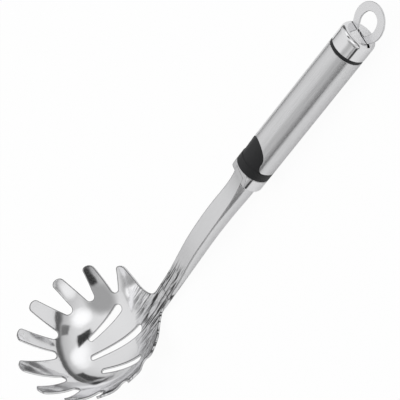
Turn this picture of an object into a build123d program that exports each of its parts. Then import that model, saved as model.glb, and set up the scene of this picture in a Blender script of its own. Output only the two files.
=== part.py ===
from build123d import *
from math import asin, atan2, cos, hypot, radians, sin
import os

os.makedirs("parts", exist_ok=True)

# Millimetres. X runs along the handle towards the hanging loop and Z up, the way
# the tines point. The origin is on the handle's axis, in the middle of the bare grip.

# Handle
handle_radius = 11.0
tube_length = 93.1
tube_wall = 1.0
rim_chamfer = 0.25
slide_gap = 0.05
quarter_turn = 90.0
half_turn = 180.0

# Collar and thumb pad
collar_ring_width = 6.1
collar_spigot_length = 20.0
pad_length = 15.9
pad_nose_length = 9.7
pad_half_width_share = 0.827
pad_recess = 0.3
pad_gap = 0.15

# Places along the axis that follow from the handle
tube_rear = (tube_length - pad_length) / 2
tube_front = tube_rear - tube_length
joint_x = tube_front - collar_ring_width
pad_middle_x = tube_front + pad_length - pad_nose_length
pad_half_width = handle_radius * pad_half_width_share

# Tang, plug, washer and nut
tang_radius = 4.0
tang_socket_depth = 7.0
thread_radius = 3.0
thread_length = 14.5
flange_width = 2.2
flange_recess = 0.2
plug_length = 13.6
plug_web = 4.0
plug_neck_recess = 3.5
plug_neck_length = 2.2
plug_neck_wall = 1.2
washer_gap = 0.3
washer_thickness = 1.2
nut_across_flats = 10.0
nut_height = 5.0
nut_chamfer = 0.5

# Radii that follow from the handle
flange_radius = handle_radius - flange_recess
plug_neck_radius = handle_radius - plug_neck_recess
plug_pocket_radius = plug_neck_radius - plug_neck_wall
washer_radius = plug_pocket_radius - washer_gap

# End cap
cap_length = 12.0
cap_shoulder = 3.0
cap_roll = 10.0
slot_gap = 0.35

# Hanging loop, pin and how far the loop swings. The loop is drawn from circles,
# each with its distance from the pin and its radius.
loop_outer_circles = ((3.75, 6.5), (14.0, 11.75))
loop_inner_circles = ((5.75, 3.0), (13.05, 6.3), (14.55, 5.9))
loop_thickness = 1.2
loop_chamfer = 0.2
loop_top_height = 20.7
loop_swing = 10.0
pin_radius = 1.25
pin_cover = 0.3
pin_running_gap = 0.05
pin_length = 2 * (handle_radius - pin_cover)

# Shaft: the round ferrule end and the sections of the flat-topped stem. Each
# section has its distance from the collar, the height of its flat face, the width
# of that face, the depth below it and the width of the bevel at its edges.
ferrule_length = 8.8
ferrule_rim_radius = 1.2
ferrule_top_height = 8.0
bevel_height_share = 2.0
stem_sections = (
    (4.6, 6.84, 10.0, 17.3, 2.0),
    (8.9, 5.60, 10.0, 16.2, 2.0),
    (20.6, 3.45, 11.0, 14.1, 1.3),
    (32.6, 2.80, 12.4, 12.9, 0.7),
    (44.6, 2.35, 13.1, 12.3, 0.4),
    (57.6, 1.50, 13.2, 11.6, 0.4),
    (68.6, 0.45, 12.9, 11.2, 0.4),
    (80.6, -1.50, 12.6, 9.9, 0.4),
    (92.6, -3.80, 12.4, 8.0, 0.4),
    (103.6, -5.55, 12.4, 6.4, 0.4),
    (110.4, -6.40, 12.6, 5.6, 0.4),
    (116.6, -7.40, 12.8, 4.5, 0.3),
    (126.6, -9.10, 13.0, 2.4, 0.3),
    (136.6, -10.10, 11.0, 0.9, 0.2),
)

# Bowl: where its inner surface meets the shaft's top, how its rim plane is tilted
# and the shape of that surface around the plane's axis
weld_distance = 110.4
weld_height = -6.56
bowl_tilt = 37.7
bowl_depth = 27.6
bowl_radius = 44.2
bowl_power = 2.9
bowl_wall = 1.5
grid_steps = 24

# Everything below that lies round the bowl is given as shares of its radius
weld_reach_share = 1.185
grid_front_share = -1.11
grid_neck_share = 1.335
grid_side_share = 1.11

# Neck: outside this radius the surface runs straight on towards the shaft, and
# between the two angles it goes over into the side of the bowl
neck_radius_share = 0.706
neck_inner_angle = 10.0
neck_outer_angle = 40.0
neck_end_shares = (1.29, 0.1425)
neck_side_shares = (1.06, 0.137)
neck_flare_share = 0.245

# Tines: the angle from the neck and the share for each tip, then for each valley
tine_half_width_share = 0.0815
tine_centre_share = 0.317
tine_tip_shares = ((42.7, 1.024), (71.9, 1.013), (99.2, 1.003), (125.5, 1.009), (151.8, 1.015))
front_tip_share = 1.02
valley_radius_share = 0.0656
valley_shares = ((49.4, 0.776), (76.7, 0.710), (104.2, 0.697), (135.6, 0.656), (161.3, 0.622))

# Slots in the floor: the narrow end and the wide end, with their widths
slot_front_width = 3.5
slot_rear_width = 5.5
middle_slot_shares = ((-0.149, 0.0), (0.595, 0.0))
side_slot_shares = ((-0.079, 0.28), (0.432, 0.437))

# The cuts in the bowl are drawn on a plane below it and run to a point above it,
# which keeps them nearly square to the wall
cut_apex_share = 1.312
cut_overrun = 0.9
cut_apex = bowl_radius * cut_apex_share
cut_plane = bowl_depth + bowl_wall + cut_overrun

cap_base = tube_rear + flange_width
cap_top = cap_base + cap_length
pin_x = cap_top + loop_top_height - sum(loop_outer_circles[-1])
loop_plane = Plane(
    origin=(pin_x, 0, 0),
    x_dir=(1, 0, 0),
    z_dir=(0, -sin(radians(cap_roll)), cos(radians(cap_roll))),
)


def axis_plane(x):
    """The plane square to the handle's axis at x, with Y to the right and Z up."""
    return Plane(origin=(x, 0, 0), x_dir=(0, 1, 0), z_dir=(1, 0, 0))


def inner_height(u, y):
    """Height of the bowl's inner surface over its rim plane at u, y."""
    radius = hypot(u, y)
    neck_radius = bowl_radius * neck_radius_share
    round_wall = bowl_depth * ((radius / bowl_radius) ** bowl_power - 1)
    if radius <= neck_radius:
        return round_wall
    start = bowl_depth * (neck_radius_share**bowl_power - 1)
    slope = (start + bowl_depth) * bowl_power / neck_radius
    straight_wall = start + slope * (radius - neck_radius)
    angle = abs(atan2(y, u))
    inner_angle = radians(neck_inner_angle)
    outer_angle = radians(neck_outer_angle)
    share = min(max((angle - inner_angle) / (outer_angle - inner_angle), 0), 1)
    share = share * share * (3 - 2 * share)
    return straight_wall + share * (round_wall - straight_wall)


def tilted_plane(origin):
    """A plane with the bowl's tilt, its X towards the neck and its Z out of the bowl."""
    tilt = radians(bowl_tilt)
    return Plane(origin=origin, x_dir=(cos(tilt), 0, -sin(tilt)), z_dir=(sin(tilt), 0, cos(tilt)))


def cut_scale(u, y):
    """How much larger a cut is on its drawing plane than on the wall at u, y."""
    return (cut_apex + cut_plane) / (cut_apex - inner_height(u, y))


def on_cut_plane(u, y):
    """The place on the drawing plane that a point of the wall at u, y comes from."""
    return Vector(u, y) * cut_scale(u, y)


def wall_circle(angle, place_share, size_share, inwards):
    """Centre, radius and far point of a tine's end or a valley on the cut plane."""
    u = bowl_radius * place_share * cos(radians(angle))
    y = bowl_radius * place_share * sin(radians(angle))
    far_point = on_cut_plane(u, y)
    outwards = (far_point - on_cut_plane(bowl_radius * tine_centre_share, 0)).normalized()
    size = bowl_radius * size_share * cut_scale(u, y)
    return far_point - outwards * size * inwards, size, far_point


def tangent_points(first_centre, first_radius, second_centre, second_radius, turn):
    """Ends of the line that leaves one circle and meets the next on its other side."""
    span = second_centre - first_centre
    lean = asin((first_radius + second_radius) / span.length)
    direction = atan2(span.Y, span.X) + turn * lean
    right = Vector(sin(direction), -cos(direction))
    start = first_centre + right * turn * first_radius
    end = second_centre - right * turn * second_radius
    return start, end


def arc_middle(centre, radius, start, end, far_point):
    """Middle of the arc from start to end on the far point's side of the circle."""
    direction = (start - centre + end - centre).normalized()
    side = 1 if direction.dot(far_point - centre) > 0 else -1
    return centre + direction * side * radius


def pad_outline(gap):
    """The thumb pad's outline seen from above, drawn smaller by the gap."""
    flare_x = pad_middle_x - tube_front
    flare_y = handle_radius - pad_half_width
    with BuildSketch(Plane.XY) as outline:
        with BuildLine():
            EllipticalCenterArc(
                (pad_middle_x, 0),
                pad_nose_length - gap,
                pad_half_width - gap,
                arc_size=quarter_turn,
            )
            EllipticalCenterArc(
                (pad_middle_x, handle_radius),
                flare_x + gap,
                flare_y + gap,
                start_angle=half_turn,
                arc_size=quarter_turn,
            )
            Polyline(
                (tube_front - gap, handle_radius),
                (tube_front - gap, 0),
                (pad_middle_x + pad_nose_length - gap, 0),
            )
        make_face()
        mirror(about=Plane.XZ)
    return outline.sketch


def loop_sketch(circles, gap, swing):
    """The hull of the loop's circles, larger by the gap and turned by the swing."""
    with BuildSketch(loop_plane) as outline:
        for arm, radius in circles:
            with Locations(Vector(arm, 0).rotate(Axis.Z, swing)):
                Circle(radius + gap)
        make_hull()
    return outline.sketch


def save(builder, name):
    """Write one piece under its name."""
    builder.part.label = name
    export_step(builder.part, f"parts/{name}.step")


# Bowl
weld_plane = axis_plane(joint_x - weld_distance)
weld_reach = bowl_radius * weld_reach_share
weld_corner = tilted_plane((joint_x - weld_distance, 0, weld_height))
bowl_plane = tilted_plane(
    weld_corner.from_local_coords((-weld_reach, 0, -inner_height(weld_reach, 0)))
)
grid_shares = [step / grid_steps for step in range(grid_steps + 1)]
grid_u = [
    bowl_radius * (grid_front_share + (grid_neck_share - grid_front_share) * share)
    for share in grid_shares
]
grid_y = [bowl_radius * grid_side_share * (2 * share - 1) for share in grid_shares]
surface_points = [
    [bowl_plane.from_local_coords((u, y, inner_height(u, y))) for u in grid_u]
    for y in grid_y
]
inner_surface = Face.make_surface_from_array_of_points(surface_points)

tine_circles = [
    wall_circle(angle, share, tine_half_width_share, 1)
    for angle, share in (*tine_tip_shares, (half_turn, front_tip_share))
]
valley_circles = [
    wall_circle(angle, share, valley_radius_share, -1) for angle, share in valley_shares
]
neck_side = [bowl_radius * share for share in neck_side_shares]
neck_end = [bowl_radius * share for share in neck_end_shares]
neck_point = on_cut_plane(*neck_side)
neck_flare = bowl_radius * neck_flare_share * cut_scale(*neck_side)
neck_circle = (neck_point + Vector(0, neck_flare), neck_flare, neck_point)
neck_corner = on_cut_plane(*neck_end)

# The outline goes from the neck round one side to the front, tine and valley in
# turn, and is mirrored to the other side
outline_circles = [(neck_corner, 0, neck_corner), neck_circle]
for tine, valley in zip(tine_circles, valley_circles):
    outline_circles += [tine, valley]
outline_circles.append(tine_circles[-1])

with BuildSketch(bowl_plane.offset(-cut_plane)) as bowl_outline:
    with BuildLine():
        arc_start = neck_corner
        turn = 1
        for this, following in zip(outline_circles, outline_circles[1:]):
            centre, radius, far_point = this
            next_centre, next_radius, _ = following
            line_start, line_end = tangent_points(
                centre, radius, next_centre, next_radius, turn
            )
            if radius > 0:
                middle = arc_middle(centre, radius, arc_start, line_start, far_point)
                ThreePointArc(arc_start, middle, line_start)
            Line(line_start, line_end)
            arc_start = line_end
            turn = -turn
        front_centre, front_radius, front_point = outline_circles[-1]
        front_middle = arc_middle(
            front_centre, front_radius, arc_start, front_point, arc_start
        )
        ThreePointArc(arc_start, front_middle, front_point)
        Polyline(front_point, (neck_corner.X, 0), neck_corner)
    make_face()
    mirror(about=Plane.XZ)

slot_faces = []
for end_shares, sides in ((middle_slot_shares, (1,)), (side_slot_shares, (1, -1))):
    for side in sides:
        with BuildSketch(bowl_plane.offset(-cut_plane)) as slot_outline:
            for (u_share, y_share), width in zip(end_shares, (slot_front_width, slot_rear_width)):
                u = bowl_radius * u_share
                y = bowl_radius * y_share * side
                with Locations(on_cut_plane(u, y)):
                    Circle(width / 2 * cut_scale(u, y))
            make_hull()
        slot_faces.append(slot_outline.sketch.face())

with BuildPart() as stem:
    for distance, top, width, depth, bevel in stem_sections:
        with BuildSketch(axis_plane(joint_x - distance)):
            half = width / 2
            edge = half + bevel
            drop = bevel * bevel_height_share
            low = top - drop
            with BuildLine():
                Polyline((-edge, low), (-half, top), (half, top), (edge, low))
                EllipticalCenterArc(
                    (0, low), edge, depth - drop, start_angle=half_turn, arc_size=half_turn
                )
            make_face()
    loft()

apex = Vertex(*bowl_plane.from_local_coords((0, 0, cut_apex)))
with BuildPart() as bowl:
    thicken(inner_surface, amount=bowl_wall, normal_override=-bowl_plane.z_dir)
    loft(sections=[bowl_outline.sketch.face(), apex], mode=Mode.INTERSECT)
    add(stem.part)
    for slot_face in slot_faces:
        loft(sections=[slot_face, apex], mode=Mode.SUBTRACT)
    split(bisect_by=weld_plane, keep=Keep.BOTTOM)

# Shaft
top_slope = (ferrule_top_height - stem_sections[1][1]) / ferrule_length
ferrule_top = Plane(
    origin=(joint_x, 0, ferrule_top_height), x_dir=(0, 1, 0), z_dir=(-top_slope, 0, 1)
)
with BuildPart() as shaft:
    with BuildSketch(axis_plane(joint_x)):
        Circle(handle_radius)
    extrude(amount=-ferrule_length)
    fillet(shaft.edges().sort_by(Axis.X)[0], ferrule_rim_radius)
    chamfer(shaft.edges().sort_by(Axis.X)[-1], rim_chamfer)
    split(bisect_by=ferrule_top, keep=Keep.BOTTOM)
    add(split(stem.part, bisect_by=weld_plane, keep=Keep.TOP, mode=Mode.PRIVATE))
    with BuildSketch(axis_plane(joint_x)):
        Circle(tang_radius)
    extrude(amount=-tang_socket_depth, mode=Mode.SUBTRACT)

# Collar with its thumb pad
with BuildPart() as thumb_pad:
    with BuildSketch(axis_plane(tube_front)):
        Circle(handle_radius - pad_recess)
    extrude(amount=pad_length)
    extrude(pad_outline(pad_gap), amount=handle_radius, mode=Mode.INTERSECT)

with BuildPart() as collar:
    with BuildSketch(axis_plane(joint_x)):
        Circle(handle_radius)
    extrude(amount=collar_ring_width)
    chamfer(collar.edges().filter_by(GeomType.CIRCLE), rim_chamfer)
    with BuildSketch(axis_plane(tube_front)):
        Circle(handle_radius - tube_wall - slide_gap)
    extrude(amount=collar_spigot_length)
    add(thumb_pad.part)
    with BuildSketch(axis_plane(joint_x)):
        Circle(tang_radius)
    extrude(amount=collar_ring_width + collar_spigot_length, mode=Mode.SUBTRACT)

# Tube
with BuildPart() as tube:
    with BuildSketch(axis_plane(tube_front)):
        Circle(handle_radius)
        Circle(handle_radius - tube_wall, mode=Mode.SUBTRACT)
    extrude(amount=tube_length)
    outer_rims = tube.edges().filter_by(
        lambda edge: edge.geom_type == GeomType.CIRCLE
        and edge.radius > handle_radius - tube_wall / 2
    )
    chamfer(outer_rims, rim_chamfer)
    extrude(pad_outline(0), amount=handle_radius, mode=Mode.SUBTRACT)

# Plug in the tube's rear end
with BuildPart() as rear_plug:
    with BuildSketch(axis_plane(tube_rear)):
        Circle(handle_radius - tube_wall - slide_gap)
    extrude(amount=-plug_length)
    with BuildSketch(axis_plane(tube_rear)):
        Circle(flange_radius)
    extrude(amount=flange_width)
    with BuildSketch(axis_plane(cap_base)):
        Circle(plug_neck_radius)
    extrude(amount=plug_neck_length)
    pocket_floor = tube_rear - plug_length + plug_web
    with BuildSketch(axis_plane(pocket_floor)):
        Circle(plug_pocket_radius)
    extrude(amount=cap_base + plug_neck_length - pocket_floor, mode=Mode.SUBTRACT)
    with BuildSketch(axis_plane(tube_rear - plug_length)):
        Circle(thread_radius)
    extrude(amount=plug_web, mode=Mode.SUBTRACT)

# Tang
tang_front = joint_x - tang_socket_depth
tang_shoulder = tube_rear - plug_length
with BuildPart() as tang:
    with BuildSketch(axis_plane(tang_front)):
        Circle(tang_radius)
    extrude(amount=tang_shoulder - tang_front)
    with BuildSketch(axis_plane(tang_shoulder)):
        Circle(thread_radius)
    extrude(amount=thread_length)
    chamfer(tang.edges().sort_by(Axis.X)[-1], rim_chamfer)

# Washer and nut
with BuildPart() as washer:
    with BuildSketch(axis_plane(pocket_floor)):
        Circle(washer_radius)
        Circle(thread_radius, mode=Mode.SUBTRACT)
    extrude(amount=washer_thickness)

with BuildPart() as nut:
    with BuildSketch(axis_plane(pocket_floor + washer_thickness)):
        RegularPolygon(nut_across_flats / 2, 6, major_radius=False)
    extrude(amount=nut_height)
    with BuildSketch(axis_plane(pocket_floor + washer_thickness)):
        Circle(nut_across_flats / 2 + nut_chamfer)
    extrude(amount=nut_height, mode=Mode.INTERSECT)
    with BuildSketch(axis_plane(pocket_floor + washer_thickness)):
        Circle(thread_radius)
    extrude(amount=nut_height, mode=Mode.SUBTRACT)

# End cap
with BuildPart() as end_cap:
    with BuildSketch(axis_plane(cap_base)):
        Circle(handle_radius)
    extrude(amount=cap_length)
    fillet(end_cap.edges().sort_by(Axis.X)[-1], cap_shoulder)
    chamfer(end_cap.edges().sort_by(Axis.X)[0], rim_chamfer)
    with BuildSketch(axis_plane(cap_base)):
        Circle(plug_neck_radius)
    extrude(amount=plug_neck_length, mode=Mode.SUBTRACT)
    for swing in (-loop_swing, loop_swing):
        extrude(
            loop_sketch(loop_outer_circles, slot_gap, swing),
            amount=loop_thickness / 2 + slot_gap,
            both=True,
            mode=Mode.SUBTRACT,
        )
    with BuildSketch(loop_plane):
        Circle(pin_radius)
    extrude(amount=pin_length / 2, both=True, mode=Mode.SUBTRACT)

# Hanging loop
with BuildPart() as hanging_loop:
    extrude(
        loop_sketch(loop_outer_circles, 0, 0), amount=loop_thickness / 2, both=True
    )
    extrude(
        loop_sketch(loop_inner_circles, 0, 0),
        amount=loop_thickness / 2,
        both=True,
        mode=Mode.SUBTRACT,
    )
    flat_faces = hanging_loop.faces().sort_by(Axis(origin=(0, 0, 0), direction=loop_plane.z_dir))
    chamfer(flat_faces[0].edges() + flat_faces[-1].edges(), loop_chamfer)
    with BuildSketch(loop_plane):
        Circle(pin_radius + pin_running_gap)
    extrude(amount=loop_thickness / 2, both=True, mode=Mode.SUBTRACT)

# Pin that holds the loop
with BuildPart() as loop_pin:
    with BuildSketch(loop_plane):
        Circle(pin_radius)
    extrude(amount=pin_length / 2, both=True)

pieces = {
    "bowl": bowl,
    "shaft": shaft,
    "collar": collar,
    "tube": tube,
    "rear_plug": rear_plug,
    "tang": tang,
    "washer": washer,
    "nut": nut,
    "end_cap": end_cap,
    "hanging_loop": hanging_loop,
    "loop_pin": loop_pin,
}
for name, builder in pieces.items():
    save(builder, name)
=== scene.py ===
"""A pasta server of polished steel with a brushed tube handle, dressed and lit as in its photograph."""

import math

import bpy
from mathutils import Matrix, Vector


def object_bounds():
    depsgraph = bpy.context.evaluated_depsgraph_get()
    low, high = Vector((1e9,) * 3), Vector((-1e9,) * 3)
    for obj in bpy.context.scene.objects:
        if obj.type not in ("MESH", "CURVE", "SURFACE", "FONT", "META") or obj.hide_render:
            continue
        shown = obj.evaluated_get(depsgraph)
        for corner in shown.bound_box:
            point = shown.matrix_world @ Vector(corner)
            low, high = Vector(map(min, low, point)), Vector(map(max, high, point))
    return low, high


# Lengths are in metres unless a name says otherwise.

# ends of a range that goes from none to all, and back
RISING = (0, 1)
FALLING = (1, 0)

# camera: its axes in the object's frame, as measured on the photograph
CAMERA_RIGHT = Vector((0.5212, -0.3383, -0.7837))
CAMERA_UP = Vector((0.6543, 0.7480, 0.1122))
CAMERA_TOWARD = Vector((0.5481, -0.5711, 0.6111))
SHAFT_ROOT = Vector((-0.059, 0, 0))
CAMERA_DISTANCE = 1.795
AIM_LEFT = 0.03126
AIM_DOWN = 0.01931
LENS_MM = 282.9
SENSOR_MM = 36
CLIP_NEAR = 0.05
CLIP_FAR = 20

# floor and light; the two shares say how much the floor glows to the camera and in mirrors
FLOOR_SIZE = 6
FLOOR_GREY = 0.9
FLOOR_GLOW_SHARE = 0.95
FLOOR_MIRRORED_SHARE = 0.28
LAMP_AIM = Vector((-0.03, 0, 0))
LAMP_PLACE = Vector((-0.25, 0.35, 1.2))
LAMP_UP = Vector((0, 1, 0))
LAMP_SIZE = 1.2
LAMP_WATTS = 3.5

# the room that the metal mirrors: sine of the height above the horizon, and the grey there
ROOM_GREYS = (
    (-1.0, 0.75),
    (-0.12, 0.72),
    (-0.03, 0.12),
    (0.1, 0.13),
    (0.21, 0.6),
    (0.4, 0.72),
    (0.6, 0.84),
    (1.0, 0.9),
)

# soft round lights and shades in the room: azimuth from +X and height in degrees, the angles
# from their middle where they are full and where they end, and their grey
ROOM_GLOWS = {
    "wall_behind_camera": (-105, 52, 14, 31, 0.42),
    "wall_at_the_bowl": (178, 36, 9, 19, 0.36),
    "camera_side_lamp": (-44, 41, 2, 21, 1.25),
    "right_lamp": (30, 33, 2, 19, 1.2),
    "back_window": (-176, 41, 4, 8, 1.2),
    "low_window": (-81, 11, 3, 13, 1.05),
    "corner_behind_camera": (-125, 7, 9, 17, 0.5),
}

# straight-sided panels in the room: azimuth and height of the middle, half the width and
# half the height, all in degrees, and their grey
ROOM_PANELS = {
    "stand_behind_camera": (-115, 26, 7, 8, 0.04),
    "dark_stand": (6, 46, 13, 10, 0.04),
    "shelf": (-23, 17, 8, 7, 0.2),
    "table_end": (66, 14, 17, 6, 0.07),
    "table_end_behind_camera": (-126, 6, 12, 5, 0.06),
}
PANEL_SOFTNESS = 2.0

# grain of each steel: noise stretched along it, and the height of its bump
EVEN = (1, 1, 1)
POLISHED_GRAIN = {"stretch": EVEN, "scale": 900, "detail": 4, "height": 0.00002, "strength": 0.12}
SATIN_GRAIN = {"stretch": (0.04, 1, 1), "scale": 2400, "detail": 3, "height": 0.00004, "strength": 0.35}
BRUSHED_GRAIN = {"stretch": (0.02, 1, 1), "scale": 2200, "detail": 4, "height": 0.00006, "strength": 0.5}
ZINC_GRAIN = {"stretch": EVEN, "scale": 1500, "detail": 3, "height": 0.00004, "strength": 0.3}

# waves that forming left in each steel
WAVE_DETAIL = 1
WAVE_HEIGHT = 0.001
BOWL_WAVES = {"scale": 85, "strength": 0.17}
CAP_WAVES = {"scale": 160, "strength": 0.05}
SATIN_WAVES = {"scale": 60, "strength": 0.04}
TUBE_WAVES = {"scale": 40, "strength": 0.02}
ZINC_WAVES = {"scale": 90, "strength": 0.03}

# roughness of each steel, from its smoothest to its roughest places, and of polished zones
POLISHED_RANGE = (0.06, 0.13)
STEM_RANGE = (0.18, 0.3)
LOOP_RANGE = (0.22, 0.34)
TUBE_RANGE = (0.2, 0.31)
ZINC_RANGE = (0.3, 0.45)
POLISHED_ROUGHNESS = 0.08

# tint of each steel, and the share of it that is missing in the darkest lines of the grain
POLISHED_TINT = (0.82, 0.82, 0.83)
SATIN_TINT = (0.80, 0.80, 0.81)
ZINC_TINT = (0.62, 0.63, 0.64)
POLISHED_SHADE_SHARE = 0.04
STEM_SHADE_SHARE = 0.1
LOOP_SHADE_SHARE = 0.08
TUBE_SHADE_SHARE = 0.26
ZINC_SHADE_SHARE = 0.1

# edges that are rounded in the shading alone: the radius on sheet and stem and the radius on
# all other pieces, then the cosine of the turn where the painted shade on an edge is darkest, and
# the share of its colour that is left under that painted shade
SHEET_EDGE = 0.001
FINE_EDGE = 0.00028
EDGE_SAMPLES = 8
EDGE_TURNED = 0.84
PAINTED_EDGE_SHADE_LEFT_SHARE = 0.05

# places along the handle's axis where the steel's finish changes: none of it at the first
# place of each pair, all of it from the second one on
FERRULE_POLISH = (-0.0692, -0.0680)
STEM_WELD_POLISH = (-0.146, -0.162)

# grinding marks that were left at the weld and polished over, with painted dark reflections in their
# lines: their middle, and the distances from it where they end and up to which they are full
MARKS_MIDDLE = (-0.176, -0.012, -0.010)
MARKS_END = 0.037
MARKS_FULL = 0.022
MARKS = {
    "stretch": (0.06, 1, 0.1),
    "scale": 1050,
    "detail": 1,
    "height": 0.0014,
    "strength": 0.5,
    # where the painted dark reflections in the marks' lines begin, where they are full, and their share
    "painted_reflection_from": 0.51,
    "painted_reflection_to": 0.56,
    "painted_reflection_share": 0.92,
}

# black plastic
PLASTIC_BLACK = (0.013, 0.0135, 0.015)
PLASTIC_ROUGHNESS = (0.46, 0.58)
PLASTIC_GLOSS = 0.35
PLASTIC_SKIN = {"scale": 2600, "detail": 3, "height": 0.00006, "strength": 0.5}
PLASTIC_PATCHES = {"scale": 90, "detail": 2, "shade_share": 0.25}


def new_material(name, tint, metallic):
    """A material with one Principled shader, and that shader."""
    material = bpy.data.materials.new(name)
    material.use_nodes = True
    shader = material.node_tree.nodes["Principled BSDF"]
    shader.inputs["Base Color"].default_value = (*tint, 1)
    shader.inputs["Metallic"].default_value = metallic
    material.diffuse_color = (*tint, 1)
    return material, shader


def add_noise(tree, stretch, scale, detail):
    """Noise in the object's own coordinates, stretched by a factor along each axis."""
    coordinates = tree.nodes.new("ShaderNodeTexCoord")
    mapping = tree.nodes.new("ShaderNodeMapping")
    mapping.inputs["Scale"].default_value = stretch
    noise = tree.nodes.new("ShaderNodeTexNoise")
    noise.inputs["Scale"].default_value = scale
    noise.inputs["Detail"].default_value = detail
    tree.links.new(coordinates.outputs["Object"], mapping.inputs["Vector"])
    tree.links.new(mapping.outputs["Vector"], noise.inputs["Vector"])
    return noise.outputs["Fac"]


def add_spread(tree, value, given, wanted, smooth=False):
    """The value carried from the given range over to the wanted one."""
    spread = tree.nodes.new("ShaderNodeMapRange")
    if smooth:
        spread.interpolation_type = "SMOOTHSTEP"
    for name, bound in zip(("From Min", "From Max", "To Min", "To Max"), (*given, *wanted)):
        spread.inputs[name].default_value = bound
    tree.links.new(value, spread.inputs["Value"])
    return spread.outputs["Result"]


def add_paint(tree, colour, share, grey):
    """Lays that grey over the colour where the share is 1."""
    mix = tree.nodes.new("ShaderNodeMix")
    mix.data_type = "RGBA"
    mix.inputs["B"].default_value = (grey, grey, grey, 1)
    tree.links.new(share, mix.inputs["Factor"])
    tree.links.new(colour, mix.inputs["A"])
    return mix.outputs["Result"]


def add_bump(tree, height, distance, strength, below=None):
    """A bump of that height, on top of another bump where one is given."""
    bump = tree.nodes.new("ShaderNodeBump")
    bump.inputs["Distance"].default_value = distance
    bump.inputs["Strength"].default_value = strength
    tree.links.new(height, bump.inputs["Height"])
    if below is not None:
        tree.links.new(below, bump.inputs["Normal"])
    return bump.outputs["Normal"]


def add_join(tree, operation, first, second):
    """Two values joined by that operation."""
    step = tree.nodes.new("ShaderNodeMath")
    step.operation = operation
    tree.links.new(first, step.inputs[0])
    tree.links.new(second, step.inputs[1])
    return step.outputs["Value"]


def add_zone(tree, places):
    """A value that rises from 0 at the first place along the handle to 1 at the second one."""
    coordinates = tree.nodes.new("ShaderNodeTexCoord")
    parts = tree.nodes.new("ShaderNodeSeparateXYZ")
    tree.links.new(coordinates.outputs["Object"], parts.inputs["Vector"])
    wanted = RISING if places[0] < places[1] else FALLING
    return add_spread(tree, parts.outputs["X"], sorted(places), wanted, smooth=True)


def add_rounded_edges(tree, radius):
    """The surface's direction, turned over each edge as if the edge were slightly rounded."""
    edges = tree.nodes.new("ShaderNodeBevel")
    edges.samples = EDGE_SAMPLES
    edges.inputs["Radius"].default_value = radius
    return edges.outputs["Normal"]


def add_painted_edge_shade(tree, colour, rounded):
    """Painted shade: the colour is darkened where the surface turns over an edge."""
    surface = tree.nodes.new("ShaderNodeNewGeometry")
    turned = tree.nodes.new("ShaderNodeVectorMath")
    turned.operation = "DOT_PRODUCT"
    darken = tree.nodes.new("ShaderNodeMix")
    darken.data_type = "RGBA"
    darken.inputs["A"].default_value = (0, 0, 0, 1)
    tree.links.new(surface.outputs["Normal"], turned.inputs[0])
    tree.links.new(rounded, turned.inputs[1])
    share = add_spread(tree, turned.outputs["Value"], (EDGE_TURNED, 1), (PAINTED_EDGE_SHADE_LEFT_SHARE, 1))
    tree.links.new(share, darken.inputs["Factor"])
    tree.links.new(colour, darken.inputs["B"])
    return darken.outputs["Result"]


def add_blend(tree, share, low, high):
    """The low value where the share is 0 and the high value where it is 1."""
    blend = tree.nodes.new("ShaderNodeMix")
    tree.links.new(share, blend.inputs["Factor"])
    for name, value in (("A", low), ("B", high)):
        if isinstance(value, float):
            blend.inputs[name].default_value = value
        else:
            tree.links.new(value, blend.inputs[name])
    return blend.outputs["Result"]


def add_shades(tree, value, tint, shade_share):
    """Colour that varies with the noise from a darker tint up to the tint itself."""
    shades = tree.nodes.new("ShaderNodeMix")
    shades.data_type = "RGBA"
    shades.inputs["A"].default_value = (*[part * (1 - shade_share) for part in tint], 1)
    shades.inputs["B"].default_value = (*tint, 1)
    tree.links.new(value, shades.inputs["Factor"])
    return shades.outputs["Result"]


def add_marks_and_painted_reflections(tree, colour, below):
    """Grinding marks round the weld as a bump, and painted dark reflections as darker lines in the
    colour.
    """
    coordinates = tree.nodes.new("ShaderNodeTexCoord")
    reach = tree.nodes.new("ShaderNodeVectorMath")
    reach.operation = "DISTANCE"
    reach.inputs[1].default_value = MARKS_MIDDLE
    tree.links.new(coordinates.outputs["Object"], reach.inputs[0])
    zone = add_spread(tree, reach.outputs["Value"], (MARKS_FULL, MARKS_END), FALLING, smooth=True)
    marks = add_noise(tree, MARKS["stretch"], MARKS["scale"], MARKS["detail"])
    height = add_join(tree, "MULTIPLY", marks, zone)
    bump = add_bump(tree, height, MARKS["height"], MARKS["strength"], below)
    # the marks' darkest lines are painted darker in the colour, as painted dark reflections
    lines = add_spread(tree, marks, (MARKS["painted_reflection_from"], MARKS["painted_reflection_to"]), (0, MARKS["painted_reflection_share"]))
    share = add_join(tree, "MULTIPLY", lines, zone)
    return add_paint(tree, colour, share, 0), bump


def make_steel(name, tint, roughness, grain, waviness, shade_share, edge, welded=False, polish_at=()):
    """Steel with its grain, the waves of its forming and slightly rounded edges, with painted shade on
    them.

    Marks lie where a weld was ground, with painted dark reflections in their lines, and the grain
    is polished away in the zones given.
    """
    material, shader = new_material(name, tint, 1)
    tree = material.node_tree
    lines = add_noise(tree, grain["stretch"], grain["scale"], grain["detail"])
    waves = add_noise(tree, EVEN, waviness["scale"], WAVE_DETAIL)
    rounded = add_rounded_edges(tree, edge)
    surface = add_bump(tree, waves, WAVE_HEIGHT, waviness["strength"], rounded)
    # the grain's own tones, with painted shade darkening the colour along each edge
    colour = add_painted_edge_shade(tree, add_shades(tree, lines, tint, shade_share), rounded)
    # where welded, grinding marks as a bump, with painted dark reflections in their lines
    if welded:
        colour, surface = add_marks_and_painted_reflections(tree, colour, surface)
    rough = add_spread(tree, lines, RISING, roughness)
    height = lines
    for places in polish_at:
        zone = add_zone(tree, places)
        rough = add_blend(tree, zone, rough, POLISHED_ROUGHNESS)
        height = add_blend(tree, zone, height, 0.0)
    surface = add_bump(tree, height, grain["height"], grain["strength"], surface)
    tree.links.new(surface, shader.inputs["Normal"])
    tree.links.new(rough, shader.inputs["Roughness"])
    tree.links.new(colour, shader.inputs["Base Color"])
    return material


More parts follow.
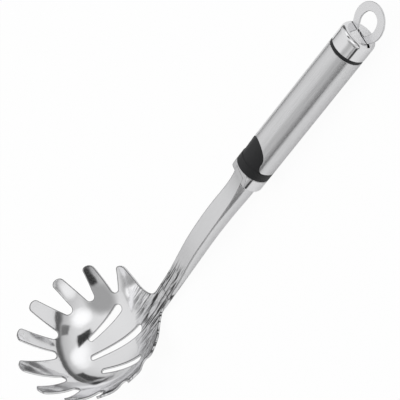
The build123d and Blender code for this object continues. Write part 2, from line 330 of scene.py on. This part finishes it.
def make_plastic(name, tint):
    """Black moulded plastic with a fine spark-eroded texture."""
    material, shader = new_material(name, tint, 0)
    tree = material.node_tree
    skin = add_noise(tree, EVEN, PLASTIC_SKIN["scale"], PLASTIC_SKIN["detail"])
    patches = add_noise(tree, EVEN, PLASTIC_PATCHES["scale"], PLASTIC_PATCHES["detail"])
    rounded = add_rounded_edges(tree, FINE_EDGE)
    surface = add_bump(tree, skin, PLASTIC_SKIN["height"], PLASTIC_SKIN["strength"], rounded)
    colour = add_shades(tree, patches, tint, PLASTIC_PATCHES["shade_share"])
    shader.inputs["Specular IOR Level"].default_value = PLASTIC_GLOSS
    tree.links.new(surface, shader.inputs["Normal"])
    tree.links.new(add_spread(tree, patches, RISING, PLASTIC_ROUGHNESS), shader.inputs["Roughness"])
    tree.links.new(colour, shader.inputs["Base Color"])
    return material


def dress(nodes, materials):
    """Gives each CAD node its material."""
    for name, material in materials.items():
        slots = nodes[name].data.materials
        slots.clear()
        slots.append(material)


def aim(thing, place, target, up):
    """Puts a lamp or camera at a place, looking at the target with that side up."""
    back = (place - target).normalized()
    right = up.cross(back).normalized()
    upright = back.cross(right)
    turn = Matrix((right, upright, back)).transposed().to_4x4()
    thing.matrix_world = Matrix.Translation(place) @ turn


def add_camera():
    """The camera of the photograph."""
    data = bpy.data.cameras.new("camera")
    data.lens = LENS_MM
    data.sensor_width = SENSOR_MM
    data.clip_start = CLIP_NEAR
    data.clip_end = CLIP_FAR
    camera = bpy.data.objects.new("camera", data)
    bpy.context.scene.collection.objects.link(camera)
    place = SHAFT_ROOT + CAMERA_TOWARD * CAMERA_DISTANCE
    target = SHAFT_ROOT - CAMERA_RIGHT * AIM_LEFT - CAMERA_UP * AIM_DOWN
    aim(camera, place, target, CAMERA_UP)
    bpy.context.scene.camera = camera


def add_lamp():
    """One large soft lamp overhead."""
    data = bpy.data.lights.new("overhead_softbox", "AREA")
    data.size = LAMP_SIZE
    data.energy = LAMP_WATTS
    softbox = bpy.data.objects.new("overhead_softbox", data)
    bpy.context.scene.collection.objects.link(softbox)
    softbox.visible_glossy = False
    aim(softbox, LAMP_PLACE, LAMP_AIM, LAMP_UP)


def add_floor(height):
    """A plain pale floor that looks white to the camera and keeps a faint shadow."""
    half = FLOOR_SIZE / 2
    mesh = bpy.data.meshes.new("floor")
    sides = ((-half, -half), (half, -half), (half, half), (-half, half))
    corners = [(x, y, height) for x, y in sides]
    mesh.from_pydata(corners, [], [range(len(corners))])
    floor = bpy.data.objects.new("floor", mesh)
    bpy.context.scene.collection.objects.link(floor)
    material = bpy.data.materials.new("pale_floor")
    material.use_nodes = True
    tree = material.node_tree
    tree.nodes.clear()
    paint = tree.nodes.new("ShaderNodeBsdfDiffuse")
    paint.inputs["Color"].default_value = (FLOOR_GREY, FLOOR_GREY, FLOOR_GREY, 1)
    glow = tree.nodes.new("ShaderNodeEmission")
    path = tree.nodes.new("ShaderNodeLightPath")
    mirrored = tree.nodes.new("ShaderNodeMath")
    mirrored.operation = "MULTIPLY"
    mirrored.inputs[1].default_value = FLOOR_MIRRORED_SHARE
    share = tree.nodes.new("ShaderNodeMath")
    share.operation = "MULTIPLY_ADD"
    share.inputs[1].default_value = FLOOR_GLOW_SHARE
    mix = tree.nodes.new("ShaderNodeMixShader")
    output = tree.nodes.new("ShaderNodeOutputMaterial")
    tree.links.new(path.outputs["Is Camera Ray"], share.inputs[0])
    tree.links.new(path.outputs["Is Glossy Ray"], mirrored.inputs[0])
    tree.links.new(mirrored.outputs["Value"], share.inputs[2])
    tree.links.new(share.outputs["Value"], mix.inputs["Fac"])
    tree.links.new(paint.outputs["BSDF"], mix.inputs[1])
    tree.links.new(glow.outputs["Emission"], mix.inputs[2])
    tree.links.new(mix.outputs["Shader"], output.inputs["Surface"])
    mesh.materials.append(material)


def sky_direction(azimuth, height):
    """The direction at that azimuth from +X and that height, both in degrees."""
    turn = math.radians(azimuth)
    rise = math.radians(height)
    level = math.cos(rise)
    return Vector((math.cos(turn) * level, math.sin(turn) * level, math.sin(rise)))


def add_glow(tree, direction, colour, glow):
    """Lays one soft round light or shade over the room's colour."""
    azimuth, height, full_angle, end_angle, grey = glow
    nearness = tree.nodes.new("ShaderNodeVectorMath")
    nearness.operation = "DOT_PRODUCT"
    nearness.inputs[1].default_value = sky_direction(azimuth, height)
    tree.links.new(direction, nearness.inputs[0])
    ends = [math.cos(math.radians(angle)) for angle in (end_angle, full_angle)]
    share = add_spread(tree, nearness.outputs["Value"], ends, RISING, smooth=True)
    return add_paint(tree, colour, share, grey)


def add_within(tree, angle, middle, half):
    """1 where the angle is within half a width of the middle, and 0 outside."""
    away = tree.nodes.new("ShaderNodeMath")
    away.operation = "SUBTRACT"
    away.inputs[1].default_value = math.radians(middle)
    distance = tree.nodes.new("ShaderNodeMath")
    distance.operation = "ABSOLUTE"
    tree.links.new(angle, away.inputs[0])
    tree.links.new(away.outputs["Value"], distance.inputs[0])
    ends = [math.radians(half + side * PANEL_SOFTNESS / 2) for side in (-1, 1)]
    return add_spread(tree, distance.outputs["Value"], ends, FALLING)


def add_panel(tree, around, above, colour, panel):
    """Lays one straight-sided panel over the room's colour."""
    azimuth, height, half_width, half_height, grey = panel
    across = add_within(tree, around, azimuth, half_width)
    upward = add_within(tree, above, height, half_height)
    return add_paint(tree, colour, add_join(tree, "MULTIPLY", across, upward), grey)


def add_world():
    """White to the camera; to the metal, a pale studio with lights, shades and panels in it."""
    world = bpy.data.worlds.new("studio")
    bpy.context.scene.world = world
    world.use_nodes = True
    tree = world.node_tree
    tree.nodes.clear()
    coordinates = tree.nodes.new("ShaderNodeTexCoord")
    direction = coordinates.outputs["Generated"]
    parts = tree.nodes.new("ShaderNodeSeparateXYZ")
    tree.links.new(direction, parts.inputs["Vector"])
    lowest = ROOM_GREYS[0][0]
    highest = ROOM_GREYS[-1][0]
    height = add_spread(tree, parts.outputs["Z"], (lowest, highest), RISING)
    ramp = tree.nodes.new("ShaderNodeValToRGB")
    steps = ramp.color_ramp.elements
    while len(steps) < len(ROOM_GREYS):
        steps.new(1)
    for step, (sine, grey) in zip(steps, ROOM_GREYS):
        step.position = (sine - lowest) / (highest - lowest)
        step.color = (grey, grey, grey, 1)
    tree.links.new(height, ramp.inputs["Fac"])
    colour = ramp.outputs["Color"]
    for glow in ROOM_GLOWS.values():
        colour = add_glow(tree, direction, colour, glow)
    around = add_join(tree, "ARCTAN2", parts.outputs["Y"], parts.outputs["X"])
    above = tree.nodes.new("ShaderNodeMath")
    above.operation = "ARCSINE"
    tree.links.new(parts.outputs["Z"], above.inputs[0])
    for panel in ROOM_PANELS.values():
        colour = add_panel(tree, around, above.outputs["Value"], colour, panel)
    room = tree.nodes.new("ShaderNodeBackground")
    backdrop = tree.nodes.new("ShaderNodeBackground")
    backdrop.inputs["Color"].default_value = (1, 1, 1, 1)
    path = tree.nodes.new("ShaderNodeLightPath")
    mix = tree.nodes.new("ShaderNodeMixShader")
    output = tree.nodes.new("ShaderNodeOutputWorld")
    tree.links.new(colour, room.inputs["Color"])
    tree.links.new(path.outputs["Is Camera Ray"], mix.inputs["Fac"])
    tree.links.new(room.outputs["Background"], mix.inputs[1])
    tree.links.new(backdrop.outputs["Background"], mix.inputs[2])
    tree.links.new(mix.outputs["Shader"], output.inputs["Surface"])


bpy.context.scene.view_settings.view_transform = "Standard"
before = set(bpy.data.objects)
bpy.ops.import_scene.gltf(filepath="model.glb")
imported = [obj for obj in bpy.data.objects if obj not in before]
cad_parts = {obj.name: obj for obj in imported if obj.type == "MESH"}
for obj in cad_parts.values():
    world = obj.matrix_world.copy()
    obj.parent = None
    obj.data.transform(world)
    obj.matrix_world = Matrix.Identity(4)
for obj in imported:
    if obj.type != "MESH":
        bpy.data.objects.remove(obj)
cad_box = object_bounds()

polished = make_steel(
    "polished_steel",
    POLISHED_TINT,
    roughness=POLISHED_RANGE,
    grain=POLISHED_GRAIN,
    waviness=BOWL_WAVES,
    shade_share=POLISHED_SHADE_SHARE,
    edge=SHEET_EDGE,
    welded=True,
)
bright = make_steel(
    "bright_cap",
    POLISHED_TINT,
    roughness=POLISHED_RANGE,
    grain=POLISHED_GRAIN,
    waviness=CAP_WAVES,
    shade_share=POLISHED_SHADE_SHARE,
    edge=FINE_EDGE,
)
stem = make_steel(
    "satin_stem",
    SATIN_TINT,
    roughness=STEM_RANGE,
    grain=SATIN_GRAIN,
    waviness=SATIN_WAVES,
    shade_share=STEM_SHADE_SHARE,
    edge=SHEET_EDGE,
    welded=True,
    polish_at=(FERRULE_POLISH, STEM_WELD_POLISH),
)
satin = make_steel(
    "satin_steel",
    SATIN_TINT,
    roughness=LOOP_RANGE,
    grain=SATIN_GRAIN,
    waviness=SATIN_WAVES,
    shade_share=LOOP_SHADE_SHARE,
    edge=FINE_EDGE,
)
brushed = make_steel(
    "brushed_tube",
    SATIN_TINT,
    roughness=TUBE_RANGE,
    grain=BRUSHED_GRAIN,
    waviness=TUBE_WAVES,
    shade_share=TUBE_SHADE_SHARE,
    edge=FINE_EDGE,
)
zinc = make_steel(
    "zinc_steel",
    ZINC_TINT,
    roughness=ZINC_RANGE,
    grain=ZINC_GRAIN,
    waviness=ZINC_WAVES,
    shade_share=ZINC_SHADE_SHARE,
    edge=FINE_EDGE,
)
black = make_plastic("black_plastic", PLASTIC_BLACK)

dress(
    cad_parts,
    {
        "bowl": polished,
        "shaft": stem,
        "collar": black,
        "tube": brushed,
        "rear_plug": black,
        "end_cap": bright,
        "hanging_loop": satin,
        "tang": zinc,
        "washer": zinc,
        "nut": zinc,
        "loop_pin": zinc,
    },
)

add_camera()
add_lamp()
add_world()
add_floor(cad_box[0].z)
